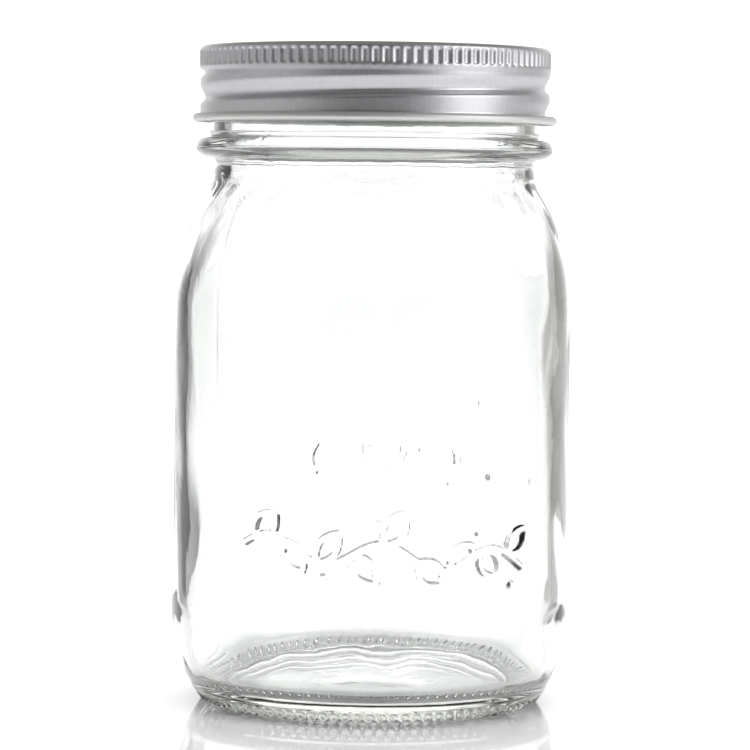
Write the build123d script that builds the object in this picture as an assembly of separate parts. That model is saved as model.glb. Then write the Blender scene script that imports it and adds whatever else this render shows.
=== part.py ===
from build123d import *
import math
import os

# Mason jar with a regular mouth and its closure: a flat disc with a bonded seal, held by a screw band.
# Millimetres. The origin is the middle of the base, +Z runs up the axis, and the raised motif faces -Y.
# The frame, the closed height and the clearances all follow from the dimensions below.

# Jar: outside
BODY_RADIUS = 40.25
WAIST_RADIUS = 39.97
WAIST_HEIGHT = 55.0
HEEL_HEIGHT = 19.5
HEEL_ARC_RADIUS = 33.0
SHOULDER_HEIGHT = 80.0
SHOULDER_RADIUS = 40.1
SHOULDER_ARC_RADIUS = 44.0
NECK_RADIUS = 32.5
NECK_FILLET = 3.0
UNDERCUT_RADIUS = 32.12
UNDERCUT_HEIGHT = 107.3
BEAD_RADIUS = 35.92
BEAD_ROOT_RADIUS = 34.3
BEAD_LOW = 109.5
BEAD_HIGH = 113.4

# Jar: finish (the threaded mouth)
FINISH_RADIUS = 33.3
FINISH_LOW = 114.2
LIP_HEIGHT = 130.65
LIP_OUTER_FILLET = 1.1
LIP_INNER_FILLET = 0.8
MOUTH_RADIUS = 30.15

# Jar: base
PUSH_UP = 3.0
PUSH_UP_EDGE_RADIUS = 30.0
PUSH_UP_EDGE_HEIGHT = 1.0
BEARING_INNER_RADIUS = 31.5
BEARING_OUTER_RADIUS = 32.92
BEARING_CORNER_HEIGHT = 0.8
STIPPLE_COUNT = 96
STIPPLE_CUTTER_RADIUS = 0.8
STIPPLE_DEPTH = 0.5

# Jar: inside
SHOULDER_WALL = 2.65
MOUTH_FILLET = 8.0
INNER_RADIUS = SHOULDER_RADIUS - SHOULDER_WALL
INNER_HEEL_HEIGHT = 21.0
INNER_HEEL_POINT = (34.3, 6.9)
FLOOR_RADIUS = 28.0
FLOOR_HEIGHT = 4.5
FLOOR_CROWN = 5.6

# Thread, shared by the jar and the band: right-handed, five turns to the inch
THREAD_PITCH = 25.4 / 5
JAR_THREAD_CREST_RADIUS = 34.4
JAR_THREAD_ROOT_HALF = 1.3
JAR_THREAD_CREST_HALF = 0.45
JAR_THREAD_TURNS = 1.5
JAR_THREAD_START_ANGLE = -135.0
THREAD_BITE = 0.35
THREAD_FLANK_GAP = 0.25

# Raised motif on the front: a vine with leaves, a ring and two sprigs
RELIEF_HEIGHT = 0.4
RELIEF_LINE = 1.3
RELIEF_REACH = 2.0
VINE_HEIGHT = 34.4
VINE_SWING = 3.2
VINE_START_ANGLE = -36.0
VINE_END_ANGLE = 46.0
VINE_WAVES = 2.5
VINE_STEPS = 60
LEAF_LENGTH = 7.6
LEAF_WIDTH = 4.2
LEAF_COUNT = 10
LEAF_LEAN = 38.0
LEAF_HOLLOW_LENGTH_SHARE = 0.62
LEAF_HOLLOW_WIDTH_SHARE = 0.5
RING_HEIGHT = 54.0
RING_RADIUS = 3.6
RING_ANGLE = 4.0
SPRIG_OFFSET_ANGLE = 11.0
SPRIG_LEAN = 60.0

# Screw band
BAND_TOP = 131.8
BAND_WALL = 0.3
BAND_RADIUS = 35.15
BAND_CORNER_RADIUS = 1.2
BAND_OPENING_RADIUS = 29.2
KNURL_RADIUS = 35.3
KNURL_LOW = 127.3
FLUTE_LOW = 127.75
FLUTE_HIGH = 130.45
KNURL_WALL = 0.6
FLUTE_COUNT = 108
FLUTE_RADIUS = 0.75
FLUTE_DEPTH = 0.3
CURL_RADIUS = 0.9
CURL_CENTRE_RADIUS = 35.7
CURL_HEIGHT = 117.5
GROOVE_DEPTH = 1.13
GROOVE_ROOT_HALF = 1.5
GROOVE_CREST_HALF = 0.5
GROOVE_TURNS = 1.35
GROOVE_LOW = 119.3
GROOVE_START_ANGLE = 24.0
RIDGE_BITE = 0.15
GROOVE_BITE = 0.4
GROOVE_END_ANGLE = 2.0

# Lid disc and its seal
STACK_GAP = 0.02
DISC_RADIUS = 34.15
DISC_WALL = 0.25
DISC_SKIRT = 0.7
SEAL_INNER_RADIUS = 30.4
SEAL_OUTER_RADIUS = 33.4
STEP_OUTER_RADIUS = 29.0
STEP_INNER_RADIUS = 28.2
STEP_DEPTH = 0.9
PANEL_CROWN_RADIUS = 21.0
PANEL_CROWN_RISE = 0.6

DISC_TOP = BAND_TOP - BAND_WALL - STACK_GAP
SEAL_TOP = DISC_TOP - DISC_WALL
SEAL_LOW = LIP_HEIGHT + STACK_GAP


def point_on_arc(centre_r, centre_z, radius, degrees):
    angle = math.radians(degrees)
    return (centre_r + radius * math.cos(angle), centre_z + radius * math.sin(angle))


def turned(edges):
    """Solid of revolution about Z from a closed outline of (radius, height) edges."""
    outline = Plane.XZ * make_face(edges)
    return revolve(outline, Axis.Z, 360)


def helical_bar(root_radius, crest_radius, root_half, crest_half, low, turns):
    """Trapezoidal bar on a right-handed helix that starts on +X at the height low."""
    path = Helix(pitch=THREAD_PITCH, height=THREAD_PITCH * turns, radius=root_radius, center=(0, 0, low))
    rise = crest_radius - root_radius
    section = Polygon(
        (0, -root_half), (rise, -crest_half), (rise, crest_half), (0, root_half), align=None
    )
    start = Plane(origin=path @ 0, x_dir=(1, 0, 0), z_dir=path % 0)
    return sweep(start * section, path=path, is_frenet=True)


def arc_meeting_shoulder(centre_r, arc_radius, fillet_radius, neck_radius):
    """Angle where a shoulder arc meets the hollow fillet under the neck, and the fillet's top height."""
    across = neck_radius + fillet_radius - centre_r
    reach = arc_radius + fillet_radius
    angle = math.degrees(math.acos(across / reach))
    fillet_top = SHOULDER_HEIGHT + reach * math.sin(math.radians(angle))
    return angle, fillet_top


def jar_outside():
    """Edges from the middle of the underside out, up the body and over the lip to the mouth."""
    heel_r = BODY_RADIUS - HEEL_ARC_RADIUS
    heel_angle = -math.degrees(math.asin((HEEL_HEIGHT - BEARING_CORNER_HEIGHT) / HEEL_ARC_RADIUS))
    heel_low = point_on_arc(heel_r, HEEL_HEIGHT, HEEL_ARC_RADIUS, heel_angle)
    heel_mid = point_on_arc(heel_r, HEEL_HEIGHT, HEEL_ARC_RADIUS, heel_angle / 2)
    heel_top = (BODY_RADIUS, HEEL_HEIGHT)
    body_top = (SHOULDER_RADIUS, SHOULDER_HEIGHT)
    arc_r = SHOULDER_RADIUS - SHOULDER_ARC_RADIUS
    angle, neck_z = arc_meeting_shoulder(arc_r, SHOULDER_ARC_RADIUS, NECK_FILLET, NECK_RADIUS)
    shoulder_mid = point_on_arc(arc_r, SHOULDER_HEIGHT, SHOULDER_ARC_RADIUS, angle / 2)
    shoulder_end = point_on_arc(arc_r, SHOULDER_HEIGHT, SHOULDER_ARC_RADIUS, angle)
    fillet_r = NECK_RADIUS + NECK_FILLET
    fillet_mid = point_on_arc(fillet_r, neck_z, NECK_FILLET, 180 + angle / 2)
    bead_mid = (BEAD_RADIUS, (BEAD_LOW + BEAD_HIGH) / 2)
    return [
        RadiusArc((0, PUSH_UP), (PUSH_UP_EDGE_RADIUS, PUSH_UP_EDGE_HEIGHT), push_up_radius()),
        Line((PUSH_UP_EDGE_RADIUS, PUSH_UP_EDGE_HEIGHT), (BEARING_INNER_RADIUS, 0)),
        Line((BEARING_INNER_RADIUS, 0), (BEARING_OUTER_RADIUS, 0)),
        TangentArc((BEARING_OUTER_RADIUS, 0), heel_low, tangent=(1, 0)),
        ThreePointArc(heel_low, heel_mid, heel_top),
        Spline(heel_top, (WAIST_RADIUS, WAIST_HEIGHT), body_top, tangents=[(0, 1), (0, 1)]),
        ThreePointArc(body_top, shoulder_mid, shoulder_end),
        ThreePointArc(shoulder_end, fillet_mid, (NECK_RADIUS, neck_z)),
        Line((NECK_RADIUS, neck_z), (UNDERCUT_RADIUS, UNDERCUT_HEIGHT)),
        Line((UNDERCUT_RADIUS, UNDERCUT_HEIGHT), (UNDERCUT_RADIUS, BEAD_LOW)),
        Line((UNDERCUT_RADIUS, BEAD_LOW), (BEAD_ROOT_RADIUS, BEAD_LOW)),
        ThreePointArc((BEAD_ROOT_RADIUS, BEAD_LOW), bead_mid, (BEAD_ROOT_RADIUS, BEAD_HIGH)),
        Line((BEAD_ROOT_RADIUS, BEAD_HIGH), (FINISH_RADIUS, FINISH_LOW)),
        Line((FINISH_RADIUS, FINISH_LOW), (FINISH_RADIUS, LIP_HEIGHT - LIP_OUTER_FILLET)),
        RadiusArc(
            (FINISH_RADIUS, LIP_HEIGHT - LIP_OUTER_FILLET),
            (FINISH_RADIUS - LIP_OUTER_FILLET, LIP_HEIGHT),
            -LIP_OUTER_FILLET,
        ),
        Line((FINISH_RADIUS - LIP_OUTER_FILLET, LIP_HEIGHT), (MOUTH_RADIUS + LIP_INNER_FILLET, LIP_HEIGHT)),
    ]


def push_up_radius():
    """Radius of the shallow dome under the base."""
    rise = PUSH_UP - PUSH_UP_EDGE_HEIGHT
    return (PUSH_UP_EDGE_RADIUS**2 + rise**2) / (2 * rise)


def jar_inside():
    """Edges from the lip down the mouth, the shoulder and the wall to the middle of the floor."""
    arc_r = SHOULDER_RADIUS - SHOULDER_ARC_RADIUS
    arc_radius = SHOULDER_ARC_RADIUS - SHOULDER_WALL
    angle, mouth_z = arc_meeting_shoulder(arc_r, arc_radius, MOUTH_FILLET, MOUTH_RADIUS)
    fillet_r = MOUTH_RADIUS + MOUTH_FILLET
    fillet_mid = point_on_arc(fillet_r, mouth_z, MOUTH_FILLET, 180 + angle / 2)
    shoulder_end = point_on_arc(arc_r, SHOULDER_HEIGHT, arc_radius, angle)
    shoulder_mid = point_on_arc(arc_r, SHOULDER_HEIGHT, arc_radius, angle / 2)
    wall_top = (INNER_RADIUS, SHOULDER_HEIGHT)
    wall_low = (INNER_RADIUS, INNER_HEEL_HEIGHT)
    floor_edge = (FLOOR_RADIUS, FLOOR_HEIGHT)
    lip_inner = (MOUTH_RADIUS, LIP_HEIGHT - LIP_INNER_FILLET)
    return [
        RadiusArc((MOUTH_RADIUS + LIP_INNER_FILLET, LIP_HEIGHT), lip_inner, -LIP_INNER_FILLET),
        Line(lip_inner, (MOUTH_RADIUS, mouth_z)),
        ThreePointArc((MOUTH_RADIUS, mouth_z), fillet_mid, shoulder_end),
        ThreePointArc(shoulder_end, shoulder_mid, wall_top),
        Line(wall_top, wall_low),
        Spline(wall_low, INNER_HEEL_POINT, floor_edge, tangents=[(0, -1), (-1, 0)]),
        Line(floor_edge, (0, FLOOR_CROWN)),
        Line((0, FLOOR_CROWN), (0, PUSH_UP)),
    ]


def stipple_notches():
    """Radial notches that leave the ring of small feet under the base."""
    length = BEARING_OUTER_RADIUS - BEARING_INNER_RADIUS + 4 * STIPPLE_CUTTER_RADIUS
    middle = (BEARING_OUTER_RADIUS + BEARING_INNER_RADIUS) / 2
    notch = Pos(middle, 0, STIPPLE_DEPTH - STIPPLE_CUTTER_RADIUS) * Rot(0, 90, 0)
    bar = notch * Cylinder(STIPPLE_CUTTER_RADIUS, length)
    step = 360 / STIPPLE_COUNT
    return [Rot(0, 0, (i + 0.5) * step) * bar for i in range(STIPPLE_COUNT)]


def on_front(angle, height):
    """Place on the jar's front: angle in degrees to the right of the middle, as seen facing the jar."""
    return Rot(0, 0, angle) * Pos(0, -BODY_RADIUS, height) * Rot(90, 0, 0)


def leaf_outline():
    """Pointed leaf: two arcs, drawn as a line of even width."""
    half = LEAF_LENGTH / 2
    tip = (LEAF_LENGTH, 0)
    upper = ThreePointArc((0, 0), (half, LEAF_WIDTH / 2), tip)
    lower = ThreePointArc(tip, (half, -LEAF_WIDTH / 2), (0, 0))
    leaf = make_face([upper, lower])
    hollow = scale(leaf, by=(LEAF_HOLLOW_LENGTH_SHARE, LEAF_HOLLOW_WIDTH_SHARE, 1))
    margin = (1 - LEAF_HOLLOW_LENGTH_SHARE) / 2 * LEAF_LENGTH
    return leaf - Pos(margin, 0, 0) * hollow


def vine_place(share):
    """Angle and height of the vine's stem, for a share of its length from 0 to 1."""
    angle = VINE_START_ANGLE + share * (VINE_END_ANGLE - VINE_START_ANGLE)
    height = VINE_HEIGHT + VINE_SWING * math.sin(2 * math.pi * VINE_WAVES * share)
    return angle, height


def relief_shapes():
    """Every flat shape of the motif, thickened through the jar's front wall."""
    shapes = []
    bead = extrude(Circle(RELIEF_LINE / 2), RELIEF_REACH, both=True)
    for i in range(VINE_STEPS):
        angle, height = vine_place(i / (VINE_STEPS - 1))
        shapes.append(on_front(angle, height) * bead)
    leaf = extrude(leaf_outline(), RELIEF_REACH, both=True)
    for i in range(LEAF_COUNT):
        angle, height = vine_place((i + 0.5) / LEAF_COUNT)
        side = 1 if i % 2 == 0 else -1
        shapes.append(on_front(angle, height) * Rot(0, 0, side * LEAF_LEAN) * leaf)
    ring = Circle(RING_RADIUS) - Circle(RING_RADIUS - RELIEF_LINE)
    shapes.append(on_front(RING_ANGLE, RING_HEIGHT) * extrude(ring, RELIEF_REACH, both=True))
    for side in (1, -1):
        turn = 90 - side * (90 - SPRIG_LEAN)
        place = on_front(RING_ANGLE + side * SPRIG_OFFSET_ANGLE, RING_HEIGHT - RING_RADIUS)
        shapes.append(place * Rot(0, 0, turn) * leaf)
    return shapes


def glass_jar():
    jar = turned(jar_outside() + jar_inside())
    thread = helical_bar(
        FINISH_RADIUS - THREAD_BITE,
        JAR_THREAD_CREST_RADIUS,
        JAR_THREAD_ROOT_HALF,
        JAR_THREAD_CREST_HALF,
        jar_thread_low(),
        JAR_THREAD_TURNS,
    )
    jar = jar + Rot(0, 0, JAR_THREAD_START_ANGLE) * thread
    jar = jar - stipple_notches()
    shell = Pos(0, 0, VINE_HEIGHT) * Cylinder(BODY_RADIUS + RELIEF_HEIGHT, SHOULDER_HEIGHT)
    shell = shell - Pos(0, 0, VINE_HEIGHT) * Cylinder(BODY_RADIUS - 1, SHOULDER_HEIGHT)
    relief = Part() + relief_shapes()
    return jar + (relief & shell)


def jar_thread_low():
    """Start height of the jar's thread: just above the band's ridge, on the same right-handed helix."""
    turn = (JAR_THREAD_START_ANGLE - GROOVE_START_ANGLE) / 360
    return GROOVE_LOW + THREAD_PITCH * turn + JAR_THREAD_ROOT_HALF + GROOVE_CREST_HALF + THREAD_FLANK_GAP


def screw_band():
    knurl_inner = KNURL_RADIUS - KNURL_WALL
    wall_inner = BAND_RADIUS - BAND_WALL
    corner_inner = BAND_CORNER_RADIUS - BAND_WALL
    corner_r = KNURL_RADIUS - BAND_CORNER_RADIUS
    corner_z = BAND_TOP - BAND_CORNER_RADIUS
    under = BAND_TOP - BAND_WALL
    blend = KNURL_LOW - KNURL_WALL
    edges = [
        Line((BAND_OPENING_RADIUS, under), (BAND_OPENING_RADIUS, BAND_TOP)),
        Line((BAND_OPENING_RADIUS, BAND_TOP), (corner_r, BAND_TOP)),
        RadiusArc((corner_r, BAND_TOP), (KNURL_RADIUS, corner_z), BAND_CORNER_RADIUS),
        Line((KNURL_RADIUS, corner_z), (KNURL_RADIUS, KNURL_LOW)),
        Line((KNURL_RADIUS, KNURL_LOW), (BAND_RADIUS, blend)),
        Line((BAND_RADIUS, blend), (BAND_RADIUS, CURL_HEIGHT)),
        Line((BAND_RADIUS, CURL_HEIGHT), (wall_inner, CURL_HEIGHT)),
        Line((wall_inner, CURL_HEIGHT), (wall_inner, blend)),
        Line((wall_inner, blend), (knurl_inner, KNURL_LOW)),
        Line((knurl_inner, KNURL_LOW), (knurl_inner, under - corner_inner)),
        RadiusArc((knurl_inner, under - corner_inner), (knurl_inner - corner_inner, under), -corner_inner),
        Line((knurl_inner - corner_inner, under), (BAND_OPENING_RADIUS, under)),
    ]
    band = turned(edges)
    band = band + Pos(0, 0, CURL_HEIGHT) * Torus(CURL_CENTRE_RADIUS, CURL_RADIUS)
    ridge = helical_bar(
        wall_inner + RIDGE_BITE,
        wall_inner - GROOVE_DEPTH,
        GROOVE_ROOT_HALF,
        GROOVE_CREST_HALF,
        GROOVE_LOW,
        GROOVE_TURNS,
    )
    end_share = GROOVE_END_ANGLE / 360
    groove = helical_bar(
        BAND_RADIUS + GROOVE_BITE,
        BAND_RADIUS - GROOVE_DEPTH,
        GROOVE_ROOT_HALF,
        GROOVE_CREST_HALF,
        GROOVE_LOW + THREAD_PITCH * end_share,
        GROOVE_TURNS - 2 * end_share,
    )
    band = band + Rot(0, 0, GROOVE_START_ANGLE) * ridge
    band = band - Rot(0, 0, GROOVE_START_ANGLE + GROOVE_END_ANGLE) * groove
    return band - knurl_flutes()


def knurl_flutes():
    """Round-ended flutes all round the band's upper wall."""
    low = FLUTE_LOW + FLUTE_RADIUS
    high = FLUTE_HIGH - FLUTE_RADIUS
    rod = Pos(0, 0, (low + high) / 2) * Cylinder(FLUTE_RADIUS, high - low)
    flute = rod + Pos(0, 0, low) * Sphere(FLUTE_RADIUS) + Pos(0, 0, high) * Sphere(FLUTE_RADIUS)
    flute = Pos(KNURL_RADIUS - FLUTE_DEPTH + FLUTE_RADIUS, 0, 0) * flute
    step = 360 / FLUTE_COUNT
    return [Rot(0, 0, i * step) * flute for i in range(FLUTE_COUNT)]


def lid_disc():
    """Tinplate disc: turned-down edge, flat rim over the seal, locating step and slightly crowned panel."""
    top = DISC_TOP
    low = top - STEP_DEPTH
    crown = low + PANEL_CROWN_RISE
    corner = 2 * DISC_WALL
    upper = [
        (0, crown),
        (PANEL_CROWN_RADIUS, crown),
        (PANEL_CROWN_RADIUS + PANEL_CROWN_RISE, low),
        (STEP_INNER_RADIUS, low),
        (STEP_OUTER_RADIUS, top),
        (DISC_RADIUS - corner, top),
        (DISC_RADIUS, top - corner),
        (DISC_RADIUS, top - DISC_SKIRT),
    ]
    lower = [
        (DISC_RADIUS - DISC_WALL, top - DISC_SKIRT),
        (DISC_RADIUS - DISC_WALL, top - corner),
        (DISC_RADIUS - corner, top - DISC_WALL),
        (STEP_OUTER_RADIUS + DISC_WALL, top - DISC_WALL),
        (STEP_INNER_RADIUS + DISC_WALL, low - DISC_WALL),
        (PANEL_CROWN_RADIUS + PANEL_CROWN_RISE - DISC_WALL, low - DISC_WALL),
        (PANEL_CROWN_RADIUS - DISC_WALL, crown - DISC_WALL),
        (0, crown - DISC_WALL),
    ]
    outline = Polyline(*upper, *lower, close=True)
    return turned([outline])


def seal_ring():
    """Sealing compound, bonded under the disc's rim and pressed on the lip."""
    height = SEAL_TOP - SEAL_LOW
    ring = Circle(SEAL_OUTER_RADIUS) - Circle(SEAL_INNER_RADIUS)
    return Pos(0, 0, SEAL_LOW) * extrude(ring, height)


os.makedirs("parts", exist_ok=True)
export_step(glass_jar(), "parts/glass_jar.step")
export_step(screw_band(), "parts/screw_band.step")
export_step(lid_disc(), "parts/lid_disc.step")
export_step(seal_ring(), "parts/seal_ring.step")
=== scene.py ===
import math

import bpy
import numpy as np
from mathutils import Matrix, Vector


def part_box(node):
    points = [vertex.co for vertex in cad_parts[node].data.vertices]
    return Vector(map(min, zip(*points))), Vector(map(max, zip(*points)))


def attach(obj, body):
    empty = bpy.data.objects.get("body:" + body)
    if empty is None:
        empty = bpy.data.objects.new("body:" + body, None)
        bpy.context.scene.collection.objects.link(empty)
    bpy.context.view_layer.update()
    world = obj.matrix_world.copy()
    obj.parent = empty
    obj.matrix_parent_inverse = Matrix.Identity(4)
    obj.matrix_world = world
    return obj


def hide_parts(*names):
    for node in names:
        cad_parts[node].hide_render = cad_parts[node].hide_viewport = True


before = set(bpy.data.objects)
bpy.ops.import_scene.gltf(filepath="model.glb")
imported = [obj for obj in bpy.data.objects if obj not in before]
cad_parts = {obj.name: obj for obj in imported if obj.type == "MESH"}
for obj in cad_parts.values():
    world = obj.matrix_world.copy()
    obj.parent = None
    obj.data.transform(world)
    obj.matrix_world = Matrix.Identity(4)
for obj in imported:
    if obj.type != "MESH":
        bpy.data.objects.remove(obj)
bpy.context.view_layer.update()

# A clear mason jar with its screw band and lid disc, on a pale glossy studio floor.
# Lengths below are in millimetres unless a name says otherwise, and meshes are written in metres.
MM = 0.001
TAU = 2 * math.pi
RNG = np.random.default_rng(70450)

# Camera, as a photographer would set it: distance, eye height, where it aims, and lens
CAMERA_DISTANCE = 674.0
CAMERA_HEIGHT = 105.4
CAMERA_AIM = (0.6, 0.0, 65.9)
CAMERA_ROLL = math.radians(0.65)
CAMERA_LENS = 160.2
CAMERA_SENSOR = 36
BOUNCES = 32
GLOSSY_BOUNCES = 12

# Jar profile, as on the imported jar: radii, heights and (radius, height) points
JAR_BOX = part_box("glass_jar")
BODY_R = JAR_BOX[1].x / MM
LIP_Z = JAR_BOX[1].z / MM
HEEL_ARC = 33.0
HEEL_Z = 19.5
WAIST = (BODY_R - 0.28, 55.0)
SHOULDER = (BODY_R - 0.15, 80.0)
SHOULDER_ARC = 44.0
NECK_R = 32.5
NECK_FILLET = 3.0
UNDERCUT_R = 32.12
UNDERCUT_LOW = 107.3
UNDERCUT_HIGH = 109.0
BEAD_FOOT = (33.2, 109.55)
BEAD_R = 35.92
BEAD_Z = 111.45
BEAD_SHELF = (34.9, 113.35)
FINISH_R = 33.3
FINISH_LOW = 113.9
THREAD_LOW = 118.0
THREAD_HIGH = 128.6
LIP_OUTER_FILLET = 1.1
LIP_INNER_FILLET = 0.8
MOUTH_R = 30.15
MOUTH_FILLET = 8.0
WALL = 2.65
INNER_HEEL_Z = 21.0
INNER_HEEL = (34.3, 6.9)
FLOOR_EDGE = (28.0, 4.5)
FLOOR_MIDDLE = (5.0, 5.4)
FLOOR_CROWN = 5.6
PUSH_UP_CROWN = 3.0
PUSH_UP_MIDDLE = (5.0, 2.95)
PUSH_UP_SLOPE = (20.0, 2.4)
PUSH_UP_EDGE = (30.0, 1.0)
BEARING_EDGE = (31.4, 0.12)
BEARING_R = 32.2
BEARING_CORNER_Z = 0.8
BASE_PLATE_Z = 4.2

# Jar surface: relief, marks of the mould, and slow waves in the glass
JAR_COLUMNS = 480
FRONT_CROWDING = 0.5
MOTIF_RISE = 0.56
STIPPLES = 96
STIPPLE_DEPTH = 0.6
STIPPLE_LEAN = 1.2
PARTING_RISE = 0.14
PARTING_Z = 3.1
PARTING_WIDTH = 0.22
SEAM_RISE = 0.09
SEAM_WIDTH = 0.34
# Seams: angle from the front in degrees, then the heights where each begins and ends
SEAMS = ((-49.5, 3.0, 107.0), (130.5, 3.0, 107.0), (-38.2, 107.5, 129.0), (141.8, 107.5, 129.0))
# Dimples: place on the unrolled wall, then radius
DIMPLE_DEPTH = 0.12
DIMPLES = ((-31.5, 73.5, 0.9), (-16.0, 86.0, 0.6), (24.0, 69.0, 0.7), (35.0, 47.0, 0.6))
# Waves: amplitude, most periods round the jar, rate up the wall, and how many are summed
OUTER_WAVES = (0.03, 9, 0.06, 16)
WALL_WAVES = (0.16, 6, 0.07, 18)
WALL_RIPPLES = (0.05, 24, 0.12, 18)
FLOOR_WAVES = (0.035, 5, 0.1, 10)
HEEL_RIPPLES = (0.022, 34, 0.5, 24)
NECK_RIPPLES = (0.07, 36, 0.6, 24)

# Motif on the unrolled wall: the stem's run and the sizes of what grows on it
STEM_START = -26.0
STEM_LENGTH = 59.0
STEM_Z = 35.2
STEM_FALL = 3.4
STEM_SWING = 2.3
STEM_WAVES = 2.6
LEAVES = 9
LINE_CORE = 0.45
LINE_EDGE = 0.8
BERRY_CORE = 0.3
BERRY_EDGE = 1.15
RINGS = (((2.6, 54.2), 3.6, 0, 360), ((13.2, 52.0), 3.9, -10, 150), ((-7.4, 52.0), 4.4, 140, 215))
BERRIES = (
    (-20.5, 40.6), (-9.0, 29.2), (1.5, 39.6), (12.6, 27.6), (22.0, 37.6), (30.0, 27.2),
    (15.8, 47.4), (0.0, 47.0), (4.8, 46.6), (24.6, 48.4), (22.2, 62.6),
)
MOTIF_REACH = 42.0
MOTIF_LOW = 20.0
MOTIF_HIGH = 66.0

# Thread: GROOVE_Z270 is the height of the band's groove at the left side, 270 degrees round from the front,
# and the jar's ridge lies JAR_THREAD_RISE above it
PITCH = 25.4 / 5
GROOVE_ZERO = math.radians(270)
GROOVE_Z270 = 121.3
GROOVE_DEPTH = 1.0
GROOVE_BELOW = 1.5
GROOVE_ABOVE = 2.9
GROOVE_START = math.radians(36)
GROOVE_END = math.radians(684)
GROOVE_FADE = math.radians(60)
JAR_THREAD_RISE = 2.05
JAR_THREAD_DEPTH = 1.1
JAR_THREAD_HALF = 1.35
JAR_THREAD_START = math.radians(-45)
JAR_THREAD_END = math.radians(495)
JAR_THREAD_FADE = math.radians(40)

# Band
BAND_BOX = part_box("screw_band")
BAND_TOP = BAND_BOX[1].z / MM
CURL_R = BAND_BOX[1].x / MM
CURL_SECTION = 0.85
CURL_Z = 117.42
CURL_NECK = (35.3, 118.12)
BAND_WALL = 0.3
BAND_R = 35.15
BAND_LOW = 118.4
BAND_INNER_LOW = 118.2
BAND_INNER_HIGH = 127.0
BAND_CORNER = 1.2
BAND_INNER_CORNER = 0.9
BAND_COLUMNS = 360
FLANGE_START = 29.5
FLANGE_END = 33.6
KNURL_R = 35.3
KNURL_LOW = 127.4
KNURL_FOOT = 126.4
KNURL_WALL = 0.45
KNURL_INNER_LOW = 128.2
RIBS = 108
RIB_DEPTH = 0.32
RIBBED_R = 34

# Lid disc, from the middle out, and seal
DISC_WALL = 0.25
DISC_COLUMNS = 288
PANEL_DEPTH = 0.9
PANEL_CROWN = 0.62
PANEL_START_R = 2.0
PANEL_EDGE = (20.6, 0.6)
PANEL_FOOT_R = 21.8
STEP_INNER_R = 27.9
STEP_OUTER_R = 29.1
RIM_FILLET = 0.5
RIM_SKIRT = 0.7
SEAL_COLUMNS = 240
SEAL_INNER_R = 30.4
SEAL_INNER_TOP_R = 30.6
SEAL_INNER_LOW_R = 30.7
SEAL_TOP_CORNER = 0.2
SEAL_LOW_CORNER = 0.3

# Studio, in metres. The world's brightness runs from its -Y end (0), behind the camera, to its +Y end (1)
FLOOR_REACH = 30.0
WORLD_STRENGTH = 1.35
WORLD_BRIGHTNESS = ((0, 0.09), (0.1, 0.15), (0.22, 0.38), (0.5, 0.44), (0.86, 0.48), (0.965, 1), (1, 1))
CEILING_DIMMING = (0.3, 0.65, 1.0, 0.5)
# Cards beside the jar: name, side, nearest edge, colour
FLAGS = (("flag_left", -1, 0.095, (0.02, 0.022, 0.018)), ("flag_right", 1, 0.1, (0.27, 0.26, 0.25)))
FLAG_FAR = 0.45
FLAG_BACK = 0.25
FLAG_TOP = 0.17
FLAG_SIDE_FADE = 0.05
LOW_FLAG_NEAR = ((0.062, -0.02), (0.14, -0.02))
LOW_FLAG_SPLAY = 0.03
LOW_FLAG_Z = 0.0005
LOW_FLAG_SIDE_FADE = 0.02
FRONT_FLAG = ((-0.62, -0.9, 0), (0.5, -0.9, 0), (0.5, -0.9, 0.45), (-0.62, -0.9, 0.45))
FRONT_FLAG_SIDE_FADE = 0.25
FRONT_FLAG_COLOUR = (0.03, 0.03, 0.035)
UPRIGHT_FADE = 0.06
LYING_FADE = 0.15


def smooth(edge0, edge1, x):
    """Smooth step from 0 at edge0 to 1 at edge1."""
    t = np.clip((x - edge0) / (edge1 - edge0), 0, 1)
    return t * t * (3 - 2 * t)


def within(x, low0, low1, high0, high1):
    """1 between low1 and high0, easing to 0 at low0 and at high1."""
    return smooth(low0, low1, x) * (1 - smooth(high0, high1, x))


def arc(centre, radius, start, end, count):
    """Points on an arc, angles in degrees, both ends included."""
    a = np.radians(np.linspace(start, end, count))
    return np.column_stack([centre[0] + radius * np.cos(a), centre[1] + radius * np.sin(a)])


def line(start, end, count):
    return np.linspace(start, end, count)


def curve(start, end, start_dir, end_dir, count):
    """Hermite curve between two points, with the given end directions."""
    t = np.linspace(0, 1, count)[:, None]
    p, q, a, b = (np.array(v, float) for v in (start, end, start_dir, end_dir))
    from_start = (2 * t**3 - 3 * t**2 + 1) * p + (t**3 - 2 * t**2 + t) * a
    from_end = (3 * t**2 - 2 * t**3) * q + (t**3 - t**2) * b
    return from_start + from_end


def joined(*runs):
    """One outline from runs that share their end points."""
    points = [runs[0]]
    for run in runs[1:]:
        near = np.linalg.norm(run[0] - points[-1][-1]) < 0.02
        points.append(run[1:] if near else run)
    return np.vstack(points)


def outline_normals(points, closed=False):
    """Unit normals to the left of travel along an outline of (radius, height)."""
    if closed:
        along = np.roll(points, -1, 0) - np.roll(points, 1, 0)
    else:
        along = np.gradient(points, axis=0)
    along /= np.maximum(np.linalg.norm(along, axis=1, keepdims=True), 1e-9)
    return np.column_stack([-along[:, 1], along[:, 0]])


def new_object(name, verts, faces, material):
    mesh = bpy.data.meshes.new(name)
    mesh.from_pydata(verts, [], faces)
    mesh.validate()
    mesh.update()
    mesh.shade_smooth()
    mesh.materials.append(material)
    piece = bpy.data.objects.new(name, mesh)
    bpy.context.collection.objects.link(piece)
    return piece


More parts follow.
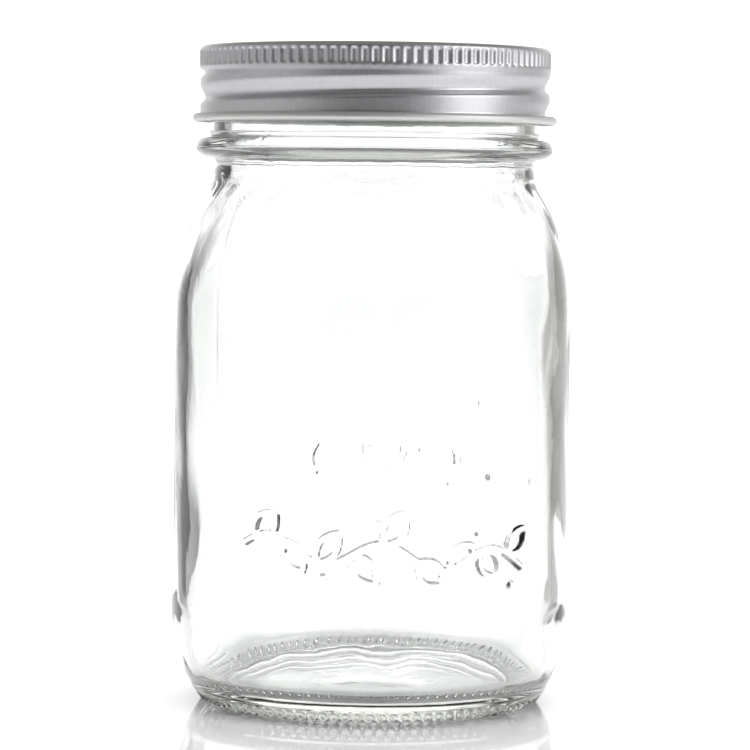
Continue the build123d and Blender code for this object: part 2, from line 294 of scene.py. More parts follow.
class Lathe:
    """Rings of vertices about Z, each joined to the next. Their column counts differ by whole ratios."""

    def __init__(self):
        self.verts = []
        self.faces = []
        self.rings = []
        self.total = 0

    def ring(self, theta, radius, height):
        radius = np.broadcast_to(radius, theta.shape)
        height = np.broadcast_to(height, theta.shape)
        at = np.column_stack([radius * np.sin(theta), -radius * np.cos(theta), height]) * MM
        self.verts.append(at)
        self.rings.append((self.total, len(theta)))
        self.total += len(theta)

    def pole(self, height):
        self.verts.append(np.array([[0, 0, height]]) * MM)
        self.rings.append((self.total, 1))
        self.total += 1

    def bridge(self, a, b):
        (first, n), (second, m) = self.rings[a], self.rings[b]
        if n == 1 or m == 1:
            count = max(n, m)
            for i in range(count):
                j = (i + 1) % count
                if n == 1:
                    self.faces.append((first, second + j, second + i))
                else:
                    self.faces.append((first + i, first + j, second))
            return
        fine_first = n >= m
        ratio = max(n, m) // min(n, m)
        for i in range(min(n, m)):
            j = (i + 1) % min(n, m)
            fine = [(i * ratio + k) % max(n, m) for k in range(ratio + 1)]
            if fine_first:
                self.faces.append(tuple(first + k for k in fine) + (second + j, second + i))
            else:
                self.faces.append((first + i, first + j) + tuple(second + k for k in reversed(fine)))

    def finish(self, name, material, closed=False):
        for i in range(len(self.rings) - 1):
            self.bridge(i, i + 1)
        if closed:
            self.bridge(len(self.rings) - 1, 0)
        return new_object(name, np.vstack(self.verts).tolist(), self.faces, material)


def helix_depth(theta, z, z_at_start, start, end, below, above, fade):
    """Share of a helical bar's height at (theta, z), with its half-widths below and above its middle."""
    depth = np.zeros(np.broadcast(theta, z).shape)
    for turn in range(-2, 4):
        along = theta + TAU * turn
        centre = z_at_start + PITCH * (along - start) / TAU
        ends = smooth(start, start + fade, along) * (1 - smooth(end - fade, end, along))
        off = np.clip(np.where(z > centre, (z - centre) / above, (centre - z) / below), 0, 1)
        depth = np.maximum(depth, ends * 0.5 * (1 + np.cos(math.pi * off)))
    return depth


def groove_height(theta):
    """Height of the band's groove at an angle from the front, on its right-handed helix."""
    return GROOVE_Z270 + PITCH * (theta - GROOVE_ZERO) / TAU


def waves(theta, z, amplitude, most_periods, z_rate, count):
    """Seeded sum of slow waves round and up the glass."""
    total = np.zeros(np.broadcast(theta, z).shape)
    for _ in range(count):
        k = RNG.integers(1, most_periods + 1)
        m = RNG.normal(0, z_rate)
        phase = RNG.uniform(0, TAU)
        total = total + RNG.normal(0, 1) * np.cos(k * theta + m * z + phase)
    return amplitude * total / math.sqrt(count)


# ---- Materials ----

class Nodes:
    """Small helper round one material's node tree."""

    def __init__(self, name):
        self.material = bpy.data.materials.new(name)
        self.material.use_nodes = True
        self.tree = self.material.node_tree
        self.shader = next(n for n in self.tree.nodes if n.type == "BSDF_PRINCIPLED")

    def add(self, kind, **values):
        node = self.tree.nodes.new(kind)
        for key, value in values.items():
            setattr(node, key, value)
        return node

    def link(self, out, into):
        self.tree.links.new(out, into)

    def set(self, **values):
        for key, value in values.items():
            self.shader.inputs[key.replace("_", " ")].default_value = value

    def noise(self, vector, scale, detail=3.0, rough=0.55, stretch=(1, 1, 1), turn=0.0):
        mapping = self.add("ShaderNodeMapping")
        mapping.inputs["Scale"].default_value = stretch
        mapping.inputs["Rotation"].default_value = (0, 0, turn)
        self.link(vector, mapping.inputs["Vector"])
        node = self.add("ShaderNodeTexNoise")
        node.inputs["Scale"].default_value = scale
        node.inputs["Detail"].default_value = detail
        node.inputs["Roughness"].default_value = rough
        self.link(mapping.outputs["Vector"], node.inputs["Vector"])
        return node.outputs["Fac"]

    def ramp(self, factor, *stops):
        node = self.add("ShaderNodeValToRGB")
        ramp = node.color_ramp
        while len(ramp.elements) < len(stops):
            ramp.elements.new(0.5)
        for element, (place, colour) in zip(ramp.elements, stops):
            element.position = place
            element.color = (*colour, 1) if len(colour) == 3 else colour
        self.link(factor, node.inputs["Fac"])
        return node.outputs["Color"]

    def span(self, value, low, high, to_low, to_high):
        node = self.add("ShaderNodeMapRange")
        for key, number in zip(("From Min", "From Max", "To Min", "To Max"), (low, high, to_low, to_high)):
            node.inputs[key].default_value = number
        self.link(value, node.inputs["Value"])
        return node.outputs["Result"]

    def mix(self, factor, a, b):
        node = self.add("ShaderNodeMix", data_type="RGBA")
        for socket, value in ((node.inputs[0], factor), (node.inputs[6], a), (node.inputs[7], b)):
            if isinstance(value, bpy.types.NodeSocket):
                self.link(value, socket)
            else:
                socket.default_value = value if isinstance(value, float) else (*value, 1)
        return node.outputs[2]

    def bump(self, height, distance_mm, strength=1.0, after=None):
        node = self.add("ShaderNodeBump")
        node.inputs["Distance"].default_value = distance_mm * MM
        node.inputs["Strength"].default_value = strength
        self.link(height, node.inputs["Height"])
        if after is not None:
            self.link(after, node.inputs["Normal"])
        return node.outputs["Normal"]


def glass_material():
    n = Nodes("clear_glass")
    n.set(Base_Color=(0.985, 0.995, 0.988, 1), Roughness=0.0, IOR=1.52, Transmission_Weight=1.0)
    place = n.add("ShaderNodeTexCoord").outputs["Object"]
    skin = None
    for scale, stretch, distance in ((60, 0.45, 0.16), (190, 0.7, 0.035), (420, 0.6, 0.01)):
        swell = n.noise(place, scale, detail=2.0, rough=0.5, stretch=(1, 1, stretch))
        skin = n.bump(swell, distance, strength=0.5, after=skin)
    n.link(skin, n.shader.inputs["Normal"])
    volume = n.add("ShaderNodeVolumeAbsorption")
    volume.inputs["Color"].default_value = (0.70, 0.76, 0.58, 1)
    volume.inputs["Density"].default_value = 5.0
    output = next(x for x in n.tree.nodes if x.type == "OUTPUT_MATERIAL")
    n.link(volume.outputs["Volume"], output.inputs["Volume"])
    return n.material


def band_material():
    """Tinplate with fine diagonal brushing, a bare matte curl and a painted warm highlight at the top edge,
    standing for the gold disc's reflection in the rim.
    """
    n = Nodes("band_tinplate")
    n.set(Metallic=1.0, Specular_IOR_Level=0.5)
    wrap = n.add("ShaderNodeUVMap", uv_map="wrap").outputs["UV"]
    place = n.add("ShaderNodeTexCoord").outputs["Object"]
    height = n.add("ShaderNodeSeparateXYZ")
    n.link(place, height.inputs["Vector"])
    brushed = n.noise(wrap, 1.0, detail=4.0, rough=0.7, stretch=(5200, 420, 1), turn=math.radians(-38))
    patches = n.noise(wrap, 120, detail=2.0, rough=0.5)
    base = n.ramp(brushed, (0.25, (0.50, 0.50, 0.515)), (0.75, (0.70, 0.70, 0.715)))
    base = n.mix(n.span(patches, 0.3, 0.7, 0.0, 0.35), base, (0.54, 0.54, 0.56))
    curl = n.span(height.outputs["Z"], (BAND_LOW - 0.05) * MM, (BAND_LOW - 0.15) * MM, 0.0, 1.0)
    # Mask for the painted warm highlight: the band's top edge is tinted orange, standing for the gold
    # disc's reflection in the rim.
    top = n.span(height.outputs["Z"], (BAND_TOP - 0.22) * MM, (BAND_TOP - 0.1) * MM, 0.0, 1.0)
    base = n.mix(curl, base, (0.74, 0.75, 0.73))
    # Painted highlight: orange mixed into the base colour along the top edge.
    base = n.mix(top, base, (0.88, 0.68, 0.44))
    n.link(base, n.shader.inputs["Base Color"])
    rough = n.span(brushed, 0.3, 0.7, 0.32, 0.44)
    curl_rough = n.mix(curl, rough, (0.55, 0.55, 0.55))
    n.link(curl_rough, n.shader.inputs["Roughness"])
    n.link(n.bump(brushed, 0.012, 0.6), n.shader.inputs["Normal"])
    return n.material


def disc_material():
    """Pale gold lacquer over tinplate, with faint straight rolling marks and a pale coat underneath."""
    n = Nodes("disc_tinplate")
    n.set(Metallic=1.0, Coat_Weight=0.4, Coat_Roughness=0.2)
    place = n.add("ShaderNodeTexCoord").outputs["Object"]
    brushed = n.noise(place, 1.0, detail=3.0, rough=0.6, stretch=(90, 2600, 90))
    speckle = n.noise(place, 900, detail=2.0, rough=0.6)
    base = n.ramp(brushed, (0.25, (0.79, 0.69, 0.48)), (0.75, (0.84, 0.74, 0.53)))
    base = n.mix(n.span(speckle, 0.35, 0.75, 0.0, 0.3), base, (0.78, 0.68, 0.48))
    facing = n.add("ShaderNodeSeparateXYZ")
    n.link(n.add("ShaderNodeTexCoord").outputs["Normal"], facing.inputs["Vector"])
    under = n.span(facing.outputs["Z"], -0.1, -0.02, 1.0, 0.0)
    base = n.mix(under, base, n.ramp(speckle, (0.3, (0.70, 0.70, 0.68)), (0.7, (0.78, 0.78, 0.76))))
    n.link(base, n.shader.inputs["Base Color"])
    n.link(n.span(brushed, 0.3, 0.7, 0.25, 0.36), n.shader.inputs["Roughness"])
    n.link(n.bump(brushed, 0.008, 0.5), n.shader.inputs["Normal"])
    return n.material


def seal_material():
    n = Nodes("seal_compound")
    place = n.add("ShaderNodeTexCoord").outputs["Object"]
    mottle = n.noise(place, 1300, detail=4.0, rough=0.6)
    base = n.ramp(mottle, (0.3, (0.36, 0.35, 0.33)), (0.7, (0.47, 0.46, 0.43)))
    n.link(base, n.shader.inputs["Base Color"])
    n.link(n.span(mottle, 0.3, 0.7, 0.55, 0.75), n.shader.inputs["Roughness"])
    n.link(n.bump(mottle, 0.03, 0.6), n.shader.inputs["Normal"])
    return n.material


def floor_material():
    n = Nodes("studio_floor")
    n.set(Specular_IOR_Level=0.5, IOR=1.5)
    place = n.add("ShaderNodeTexCoord").outputs["Object"]
    mottle = n.noise(place, 40, detail=3.0, rough=0.5)
    base = n.ramp(mottle, (0.3, (0.87, 0.87, 0.88)), (0.7, (0.90, 0.90, 0.90)))
    n.link(base, n.shader.inputs["Base Color"])
    n.link(n.span(mottle, 0.3, 0.7, 0.05, 0.07), n.shader.inputs["Roughness"])
    return n.material


# ---- Glass jar ----

def neck_meets_shoulder(centre_r, radius, fillet, neck):
    """Angle on the shoulder arc where the hollow fillet begins, and the fillet's centre height."""
    reach = radius + fillet
    angle = math.degrees(math.acos((neck + fillet - centre_r) / reach))
    return angle, SHOULDER[1] + reach * math.sin(math.radians(angle))


def jar_outside():
    """Outline from near the middle of the underside out, up the body and over the lip."""
    heel_centre = (BODY_R - HEEL_ARC, HEEL_Z)
    low = -math.degrees(math.asin((HEEL_Z - BEARING_CORNER_Z) / HEEL_ARC))
    plate = -math.degrees(math.asin((HEEL_Z - BASE_PLATE_Z) / HEEL_ARC))
    corner = arc(heel_centre, HEEL_ARC, low, low, 1)[0]
    centre_r = SHOULDER[0] - SHOULDER_ARC
    angle, neck_z = neck_meets_shoulder(centre_r, SHOULDER_ARC, NECK_FILLET, NECK_R)
    lip_fillet = LIP_OUTER_FILLET
    return joined(
        line(PUSH_UP_MIDDLE, PUSH_UP_SLOPE, 3),
        curve(PUSH_UP_SLOPE, PUSH_UP_EDGE, (12, -1.2), (8, -1.6), 5),
        curve(PUSH_UP_EDGE, BEARING_EDGE, (1.2, -0.6), (1.4, -0.3), 5),
        curve(BEARING_EDGE, (BEARING_R, 0.0), (0.6, -0.12), (0.6, 0.0), 3),
        curve((BEARING_R, 0.0), tuple(corner), (1.6, 0.0), (1.0, 1.5), 8),
        arc(heel_centre, HEEL_ARC, low, plate, 15),
        arc(heel_centre, HEEL_ARC, plate, 0, 12),
        curve((BODY_R, HEEL_Z), WAIST, (0, 35), (0, 35), 130),
        curve(WAIST, SHOULDER, (0, 25), (0, 25), 26),
        arc((centre_r, SHOULDER[1]), SHOULDER_ARC, 0, angle, 24),
        arc((NECK_R + NECK_FILLET, neck_z), NECK_FILLET, 180 + angle, 180, 5),
        curve((NECK_R, neck_z), (UNDERCUT_R, UNDERCUT_LOW), (0, 1), (0, 1.2), 3),
        line((UNDERCUT_R, UNDERCUT_LOW), (UNDERCUT_R, UNDERCUT_HIGH), 2),
        curve((UNDERCUT_R, UNDERCUT_HIGH), BEAD_FOOT, (0, 0.9), (1.2, 0.0), 4),
        curve(BEAD_FOOT, (BEAD_R, BEAD_Z), (3.0, 0.1), (0, 2.6), 9),
        curve((BEAD_R, BEAD_Z), BEAD_SHELF, (0, 2.4), (-1.1, 0.5), 8),
        curve(BEAD_SHELF, (FINISH_R, FINISH_LOW), (-1.5, 0.1), (0, 0.6), 6),
        line((FINISH_R, FINISH_LOW), (FINISH_R, THREAD_LOW), 5),
        line((FINISH_R, THREAD_LOW), (FINISH_R, THREAD_HIGH), 25),
        line((FINISH_R, THREAD_HIGH), (FINISH_R, LIP_Z - lip_fillet), 2),
        arc((FINISH_R - lip_fillet, LIP_Z - lip_fillet), lip_fillet, 0, 90, 5),
    )


def jar_inside():
    """Outline from the lip down the mouth and the wall to near the middle of the floor."""
    centre_r = SHOULDER[0] - SHOULDER_ARC
    inner_r = SHOULDER[0] - WALL
    inner_arc = SHOULDER_ARC - WALL
    angle, mouth_z = neck_meets_shoulder(centre_r, inner_arc, MOUTH_FILLET, MOUTH_R)
    lip_fillet = LIP_INNER_FILLET
    return joined(
        arc((MOUTH_R + lip_fillet, LIP_Z - lip_fillet), lip_fillet, 90, 180, 4),
        line((MOUTH_R, LIP_Z - lip_fillet), (MOUTH_R, mouth_z), 12),
        arc((MOUTH_R + MOUTH_FILLET, mouth_z), MOUTH_FILLET, 180, 180 + angle, 7),
        arc((centre_r, SHOULDER[1]), inner_arc, angle, 0, 16),
        line((inner_r, SHOULDER[1]), (inner_r, INNER_HEEL_Z), 24),
        curve((inner_r, INNER_HEEL_Z), INNER_HEEL, (0, -11.0), (-4.2, -7.0), 16),
        curve(INNER_HEEL, FLOOR_EDGE, (-2.4, -4.0), (-7.0, 0.0), 16),
        line(FLOOR_EDGE, FLOOR_MIDDLE, 12),
    )


def stem_place(share):
    """Place of the motif's stem on the unrolled wall, for a share of its length from 0 to 1."""
    across = STEM_START + STEM_LENGTH * share
    up = STEM_Z - STEM_FALL * share + STEM_SWING * np.sin(TAU * STEM_WAVES * share)
    return across, up


def leaf_line(at, lean, length, width):
    """Outline of one leaf, growing from its place at an angle in degrees."""
    share = np.linspace(0, 1, 60)
    half = 0.5 * width * np.sin(math.pi * share) ** 0.8
    upper = np.column_stack([share * length, half])
    lower = np.column_stack([share * length, -half])[::-1]
    c, s = math.cos(math.radians(lean)), math.sin(math.radians(lean))
    return np.vstack([upper, lower]) @ np.array([[c, s], [-s, c]]) + at


def ring_line(at, radius, start, end):
    a = np.radians(np.linspace(start, end, 90))
    return np.column_stack([at[0] + radius * np.cos(a), at[1] + radius * np.sin(a)])


def motif_points():
    """Points along every line of the raised motif, as (distance to the right of the front, height)."""
    lines = [np.column_stack(stem_place(np.linspace(0, 1, 400)))]
    for i in range(LEAVES):
        at = np.array(stem_place((i + 0.4) / LEAVES))
        lean = (52 if i % 2 == 0 else -48) + RNG.uniform(-10, 10)
        lines.append(leaf_line(at, lean, RNG.uniform(6.2, 7.8), RNG.uniform(3.6, 4.6)))
    lines += [ring_line(*ring) for ring in RINGS]
    return np.vstack(lines)


def motif_height(s, z):
    """Height of the motif, from 0 to 1, over unrolled wall places: it rises round its lines and berries."""
    points = motif_points()
    height = np.zeros(s.shape)
    near = (z > MOTIF_LOW) & (z < MOTIF_HIGH) & (np.abs(s) < MOTIF_REACH)
    places = np.column_stack([s[near], z[near]])
    gap = np.full(len(places), np.inf)
    for chunk in np.array_split(points, len(points) // 64):
        d = np.linalg.norm(places[:, None, :] - chunk[None, :, :], axis=2).min(axis=1)
        gap = np.minimum(gap, d)
    rise = 1 - smooth(LINE_CORE, LINE_EDGE, gap)
    for s0, z0 in BERRIES:
        d = np.hypot(places[:, 0] - s0, places[:, 1] - z0)
        rise = np.maximum(rise, 1 - smooth(BERRY_CORE, BERRY_EDGE, d))
    height[near] = rise
    return height


def parting_line(r, z):
    """Height of the fine line where the base plate of the mould met the body."""
    return PARTING_RISE * np.exp(-(((z - PARTING_Z) / PARTING_WIDTH) ** 2)) * (r > PUSH_UP_EDGE[0])


def foot_depth(theta, r, z):
    """Depth of the radial notches that leave the ring of small feet under the base."""
    on_ring = smooth(30.2, 31.4, r) * (1 - smooth(1.5, 2.6, z))
    return STIPPLE_DEPTH * on_ring * (0.5 - 0.5 * np.cos(STIPPLES * theta + STIPPLE_LEAN * z)) ** 0.7


def outer_lift(theta, r, z):
    """How far the outer surface stands off its outline: motif, waves, dimples, mould lines and thread."""
    facing = (theta + math.pi) % TAU - math.pi
    lift = MOTIF_RISE * motif_height(facing * BODY_R, z + 0 * theta)
    slow = waves(theta, z, *OUTER_WAVES)
    lift += (slow - slow.max()) * within(z, 8, 20, 102, 106)
    for s0, z0, size in DIMPLES:
        away = ((facing * BODY_R - s0) ** 2 + (z - z0) ** 2) / size**2
        lift -= DIMPLE_DEPTH * np.exp(-away)
    lift += parting_line(r, z)
    for seam, low, high in SEAMS:
        off = ((theta - math.radians(seam) + math.pi) % TAU - math.pi) * r
        lift += SEAM_RISE * np.exp(-((off / SEAM_WIDTH) ** 2)) * within(z, low, low + 1, high - 1, high)
    z_start = groove_height(JAR_THREAD_START) + JAR_THREAD_RISE
    half = JAR_THREAD_HALF
    thread = helix_depth(theta, z, z_start, JAR_THREAD_START, JAR_THREAD_END, half, half, JAR_THREAD_FADE)
    return lift + JAR_THREAD_DEPTH * thread * (z > FINISH_LOW)


def inner_lift(theta, r, z):
    """How far the inner surface stands off its outline: waves and ripples of the blown glass."""
    body = within(z, 5, 18, 100, 108)
    lift = waves(theta, z, *WALL_WAVES) * body
    lift += waves(theta, z, *WALL_RIPPLES) * body
    lift += waves(theta, z + r, *FLOOR_WAVES) * (1 - smooth(5, 12, z)) * smooth(2, 20, r)
    lift += waves(theta, z, *HEEL_RIPPLES) * within(z, 4, 5, 8, 15) * smooth(26, 31, r)
    lift += waves(theta, z, *NECK_RIPPLES) * within(z, 93, 100, 106, 112)
    return lift


def glass_jar(material):
    lathe = Lathe()
    turn = np.arange(JAR_COLUMNS) / JAR_COLUMNS * TAU
    fine = np.arange(2 * JAR_COLUMNS) / (2 * JAR_COLUMNS) * TAU
    outline = jar_outside()
    normals = -outline_normals(outline)
    r, z = outline[:, 0:1], outline[:, 1:2]
    crowd = FRONT_CROWDING * within(z, 4, 14, 100, 108) * (r > PUSH_UP_EDGE[0])
    theta = turn[None, :] - crowd * np.sin(turn)[None, :]
    lift = outer_lift(theta, r, z)
    lathe.pole(PUSH_UP_CROWN)
    for i in range(len(outline)):
        footed = r[i] > 29.5 and z[i] < 3.6
        angles = fine if footed else theta[i]
        rise = parting_line(r[i], z[i]) - foot_depth(fine, r[i], z[i]) if footed else lift[i]
        lathe.ring(angles, r[i] + rise * normals[i, 0], z[i] + rise * normals[i, 1])
    outline = jar_inside()
    normals = -outline_normals(outline)
    r, z = outline[:, 0:1], outline[:, 1:2]
    lift = inner_lift(turn, r, z)
    for i in range(len(outline)):
        lathe.ring(turn, r[i] + lift[i] * normals[i, 0], z[i] + lift[i] * normals[i, 1])
    lathe.pole(FLOOR_CROWN)
    return lathe.finish("glass_jar_moulded", material)


# ---- Screw band ----

def band_outline():
    """Closed outline of the band's sheet: flange, corner, wall and curl outside, then back up inside."""
    inner_r = BAND_R - BAND_WALL
    top = BAND_TOP
    edge = BAND_WALL / 2
    rib_r = KNURL_R - KNURL_WALL
    corner_z = top - BAND_CORNER
    outside = joined(
        arc((FLANGE_START - edge, top - edge), edge, 270, 90, 5),
        line((FLANGE_START, top), (FLANGE_END, top), 4),
        arc((KNURL_R - BAND_CORNER, corner_z), BAND_CORNER, 90, 0, 8),
        line((KNURL_R, corner_z), (KNURL_R, KNURL_LOW), 15),
        curve((KNURL_R, KNURL_LOW), (BAND_R, KNURL_FOOT), (0, -0.6), (0, -0.6), 3),
        line((BAND_R, KNURL_FOOT), (BAND_R, BAND_LOW), 40),
        curve((BAND_R, BAND_LOW), CURL_NECK, (0, -0.2), (0.2, 0.05), 3),
        arc((CURL_R - CURL_SECTION, CURL_Z), CURL_SECTION, 118, -160, 15),
    )
    inside = joined(
        curve(tuple(outside[-1]), (inner_r, BAND_INNER_LOW), (0, 0.5), (0, 0.5), 3),
        line((inner_r, BAND_INNER_LOW), (inner_r, BAND_INNER_HIGH), 36),
        curve((inner_r, BAND_INNER_HIGH), (rib_r, KNURL_INNER_LOW), (0, 0.6), (0, 0.6), 3),
        line((rib_r, KNURL_INNER_LOW), (rib_r, corner_z - 0.05), 2),
        arc((rib_r - BAND_INNER_CORNER, corner_z), BAND_INNER_CORNER, 0, 90, 4),
        line((FLANGE_END, top - BAND_WALL), (FLANGE_START + 0.1, top - BAND_WALL), 3),
    )
    return outside, inside


def groove_depth(theta, z):
    """Depth of the groove rolled into the band's wall."""
    place = (groove_height(GROOVE_START), GROOVE_START, GROOVE_END)
    return GROOVE_DEPTH * helix_depth(theta, np.array(z), *place, GROOVE_BELOW, GROOVE_ABOVE, GROOVE_FADE)


def rib_depth(theta, z):
    """Depth of the spaces between the ribs round the band's top edge."""
    shape = np.clip(0.5 - 0.75 * np.cos(RIBS * theta), 0, 1)
    return RIB_DEPTH * within(z, 127.5, 128.1, 130.45, 130.85) * (1 - shape)


def screw_band(material):
    outside, inside = band_outline()
    lathe = Lathe()
    coarse = np.arange(BAND_COLUMNS) / BAND_COLUMNS * TAU
    fine = np.arange(3 * BAND_COLUMNS) / (3 * BAND_COLUMNS) * TAU
    for r, z in outside:
        ribbed = r > RIBBED_R and 127.0 < z < BAND_TOP - 0.5
        theta = fine if ribbed else coarse
        groove = groove_depth(theta, z) * (r > 34.5 and 118.3 < z < 127)
        lathe.ring(theta, r - groove - rib_depth(theta, z) * (r > RIBBED_R), z)
    for r, z in inside:
        lathe.ring(coarse, r - groove_depth(coarse, z) * (118.1 < z < 126.8), z)
    band = lathe.finish("screw_band_rolled", material, closed=True)
    add_wrap(band)
    return band


def add_wrap(piece):
    """UV layer of metres round and up, for marks that follow the wall."""
    mesh = piece.data
    layer = mesh.uv_layers.new(name="wrap")
    at = np.empty(len(mesh.vertices) * 3)
    mesh.vertices.foreach_get("co", at)
    at = at.reshape(-1, 3)
    corner = np.empty(len(mesh.loops), int)
    mesh.loops.foreach_get("vertex_index", corner)
    sizes = np.empty(len(mesh.polygons), int)
    mesh.polygons.foreach_get("loop_total", sizes)
    first = np.repeat(np.cumsum(sizes) - sizes, sizes)
    angle = np.arctan2(at[:, 0], -at[:, 1])[corner]
    angle = angle + TAU * np.round((angle[first] - angle) / TAU)
    across = angle * KNURL_R * MM
    up = at[corner, 2] + np.maximum(0, RIBBED_R * MM - np.hypot(at[corner, 0], at[corner, 1]))
    layer.data.foreach_set("uv", np.column_stack([across, up]).ravel())


# ---- Lid disc and seal ----

def lid_disc(material):
    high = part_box("lid_disc")[1]
    top, edge = high.z / MM, high.x / MM
    low = top - PANEL_DEPTH
    panel = (PANEL_EDGE[0], low + PANEL_EDGE[1])
    fillet_z = top - RIM_FILLET
    upper = joined(
        curve((PANEL_START_R, low + PANEL_CROWN), panel, (9, 0), (9, -0.02), 8),
        curve(panel, (PANEL_FOOT_R, low), (0.7, 0), (0.7, 0), 7),
        curve((PANEL_FOOT_R, low), (STEP_INNER_R, low), (2, 0.02), (2, 0), 6),
        curve((STEP_INNER_R, low), (STEP_OUTER_R, top), (0.7, 0), (0.7, 0), 7),
        line((STEP_OUTER_R, top), (edge - RIM_FILLET, top), 5),
        arc((edge - RIM_FILLET, fillet_z), RIM_FILLET, 90, 0, 5),
        line((edge, fillet_z), (edge, top - RIM_SKIRT), 2),
    )
    lower = (upper - DISC_WALL * outline_normals(upper))[::-1]
    theta = np.arange(DISC_COLUMNS) / DISC_COLUMNS * TAU
    lathe = Lathe()
    lathe.pole(low + PANEL_CROWN)
    for r, z in np.vstack([upper, lower]):
        lathe.ring(theta, r, z)
    lathe.pole(low + PANEL_CROWN - DISC_WALL)
    return lathe.finish("lid_disc_stamped", material)


def seal_ring(material):
    low_box, high_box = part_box("seal_ring")
    low, top, edge = low_box.z / MM, high_box.z / MM, high_box.x / MM
    middle = (low + top) / 2
    outer_top, outer_low = (edge - SEAL_TOP_CORNER, top), (edge - SEAL_LOW_CORNER, low)
    inner_top, inner_low = (SEAL_INNER_TOP_R, top), (SEAL_INNER_LOW_R, low)
    inner = (SEAL_INNER_R, middle)
    section = joined(
        line(inner_top, outer_top, 5),
        curve(outer_top, (edge, middle), (0.2, 0), (0, -0.3), 4),
        curve((edge, middle), outer_low, (0, -0.3), (-0.3, 0), 4),
        line(outer_low, inner_low, 5),
        curve(inner_low, inner, (-0.3, 0), (0, 0.3), 4),
        curve(inner, inner_top, (0, 0.3), (0.2, 0), 4),
    )[:-1]
    theta = np.arange(SEAL_COLUMNS) / SEAL_COLUMNS * TAU
    lathe = Lathe()
    for r, z in section:
        lathe.ring(theta, r, z)
    return lathe.finish("seal_ring_cast", material, closed=True)


# ---- Studio ----

def plane(name, corners, material):
    piece = new_object(name, corners, [tuple(range(len(corners)))], material)
    return piece


def multiplied(tree, a, b):
    node = tree.nodes.new("ShaderNodeMath")
    node.operation = "MULTIPLY"
    tree.links.new(a, node.inputs[0])
    tree.links.new(b, node.inputs[1])
    return node.outputs["Value"]


def eased(tree, value, low, high, to_low=0.0, to_high=1.0):
    """Smooth change from to_low, where the value is low, to to_high, where it is high."""
    node = tree.nodes.new("ShaderNodeMapRange")
    node.interpolation_type = "SMOOTHSTEP"
    for key, number in zip(("From Min", "From Max", "To Min", "To Max"), (low, high, to_low, to_high)):
        node.inputs[key].default_value = number
    tree.links.new(value, node.inputs["Value"])
    return node.outputs["Result"]


def studio():
    reach = FLOOR_REACH
    floor = [(-reach, -reach, 0), (reach, -reach, 0), (reach, reach, 0), (-reach, reach, 0)]
    plane("studio_floor", floor, floor_material())
    world = bpy.data.worlds.new("studio")
    bpy.context.scene.world = world
    world.use_nodes = True
    tree = world.node_tree
    background = next(x for x in tree.nodes if x.type == "BACKGROUND")
    coord = tree.nodes.new("ShaderNodeTexCoord")
    parts = tree.nodes.new("ShaderNodeSeparateXYZ")
    tree.links.new(coord.outputs["Generated"], parts.inputs[0])
    half = tree.nodes.new("ShaderNodeMapRange")
    half.inputs["From Min"].default_value = -1
    tree.links.new(parts.outputs["Y"], half.inputs["Value"])
    brightness = tree.nodes.new("ShaderNodeFloatCurve")
    tree.links.new(half.outputs["Result"], brightness.inputs["Value"])
    points = brightness.mapping.curves[0].points
    for _ in WORLD_BRIGHTNESS[2:]:
        points.new(0.5, 0.5)
    for point, stop in zip(points, WORLD_BRIGHTNESS):
        point.location = stop
    brightness.mapping.update()
    ceiling = eased(tree, parts.outputs["Z"], *CEILING_DIMMING)
    tree.links.new(multiplied(tree, brightness.outputs["Value"], ceiling), background.inputs["Color"])
    background.inputs["Strength"].default_value = WORLD_STRENGTH
    for name, side, near, colour in FLAGS:
        x_far, y, top = side * FLAG_FAR, FLAG_BACK, FLAG_TOP
        upright = [(side * near, y, 0), (x_far, y, 0), (x_far, y, top), (side * near, y, top)]
        lying = [(side * x, y0, LOW_FLAG_Z) for x, y0 in LOW_FLAG_NEAR]
        lying += [(x_far, y, LOW_FLAG_Z), (side * (near + LOW_FLAG_SPLAY), y, LOW_FLAG_Z)]
        tall = card(name, upright, FLAG_SIDE_FADE, colour)
        low = card(name + "_low", lying, LOW_FLAG_SIDE_FADE, colour, flat=True)
        tall.visible_glossy = low.visible_glossy = False
    front = card("flag_front", FRONT_FLAG, FRONT_FLAG_SIDE_FADE, FRONT_FLAG_COLOUR)
    front.visible_transmission = False


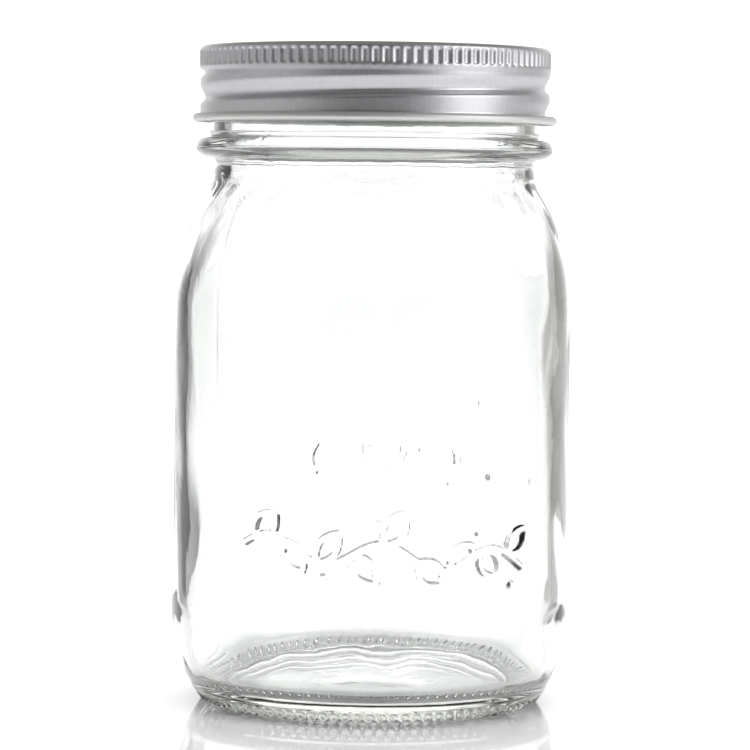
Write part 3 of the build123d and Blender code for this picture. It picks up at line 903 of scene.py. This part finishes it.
def card(name, corners, softness, colour, flat=False):
    """Dark card with soft edges, upright or lying flat, and unseen by the camera itself."""
    material = bpy.data.materials.new(name)
    material.use_nodes = True
    tree = material.node_tree
    tree.nodes.clear()
    place = tree.nodes.new("ShaderNodeTexCoord")
    parts = tree.nodes.new("ShaderNodeSeparateXYZ")
    tree.links.new(place.outputs["Object"], parts.inputs[0])
    x, y, z = parts.outputs
    low, high = min(c[0] for c in corners), max(c[0] for c in corners)
    sides = multiplied(tree, eased(tree, x, low, low + softness), eased(tree, x, high, high - softness))
    if flat:
        edge = min(c[1] for c in corners)
        fade = eased(tree, y, edge, edge + LYING_FADE)
    else:
        edge = max(c[2] for c in corners)
        fade = eased(tree, z, edge, edge - UPRIGHT_FADE)
    glow = tree.nodes.new("ShaderNodeEmission")
    glow.inputs["Color"].default_value = (*colour, 1)
    clear = tree.nodes.new("ShaderNodeBsdfTransparent")
    blend = tree.nodes.new("ShaderNodeMixShader")
    output = tree.nodes.new("ShaderNodeOutputMaterial")
    tree.links.new(multiplied(tree, sides, fade), blend.inputs[0])
    tree.links.new(clear.outputs[0], blend.inputs[1])
    tree.links.new(glow.outputs[0], blend.inputs[2])
    tree.links.new(blend.outputs[0], output.inputs["Surface"])
    piece = plane(name, corners, material)
    piece.visible_camera = False
    piece.visible_diffuse = False
    piece.visible_shadow = False
    return piece


def area_light(name, place, target, size, power):
    data = bpy.data.lights.new(name, "AREA")
    data.shape = "RECTANGLE"
    data.size, data.size_y = size
    data.energy = power
    lamp = bpy.data.objects.new(name, data)
    lamp.location = place
    lamp.rotation_euler = (Vector(target) - Vector(place)).to_track_quat("-Z", "Y").to_euler()
    lamp.visible_camera = False
    bpy.context.collection.objects.link(lamp)
    return lamp


def lights():
    area_light("key_right", place=(1.28, -0.57, 0.62), target=(0, 0, 0.12), size=(0.95, 0.9), power=7.5)
    top = area_light("top", place=(0, 0.1, 1.6), target=(0, 0, 0), size=(1.8, 1.8), power=33)
    top.visible_glossy = False


def camera():
    data = bpy.data.cameras.new("camera")
    data.lens = CAMERA_LENS
    data.sensor_width = CAMERA_SENSOR
    data.clip_start = 0.01
    data.clip_end = 100
    cam = bpy.data.objects.new("camera", data)
    place = Vector((0, -CAMERA_DISTANCE, CAMERA_HEIGHT)) * MM
    aim = Vector(CAMERA_AIM) * MM
    cam.location = place
    turn = (aim - place).to_track_quat("-Z", "Y").to_matrix().to_4x4()
    cam.rotation_euler = (turn @ Matrix.Rotation(CAMERA_ROLL, 4, "Z")).to_euler()
    bpy.context.collection.objects.link(cam)
    bpy.context.scene.camera = cam


def look():
    scene = bpy.context.scene
    scene.view_settings.view_transform = "Standard"
    scene.cycles.max_bounces = BOUNCES
    scene.cycles.transmission_bounces = BOUNCES
    scene.cycles.transparent_max_bounces = BOUNCES
    scene.cycles.glossy_bounces = GLOSSY_BOUNCES
    scene.cycles.use_denoising = True


camera()
look()
studio()
lights()

jar = glass_jar(glass_material())
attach(jar, "jar")
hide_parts("glass_jar")

band = screw_band(band_material())
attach(band, "band")
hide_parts("screw_band")

disc = lid_disc(disc_material())
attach(disc, "lid")
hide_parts("lid_disc")

seal = seal_ring(seal_material())
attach(seal, "lid")
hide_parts("seal_ring")

bpy.context.view_layer.update()
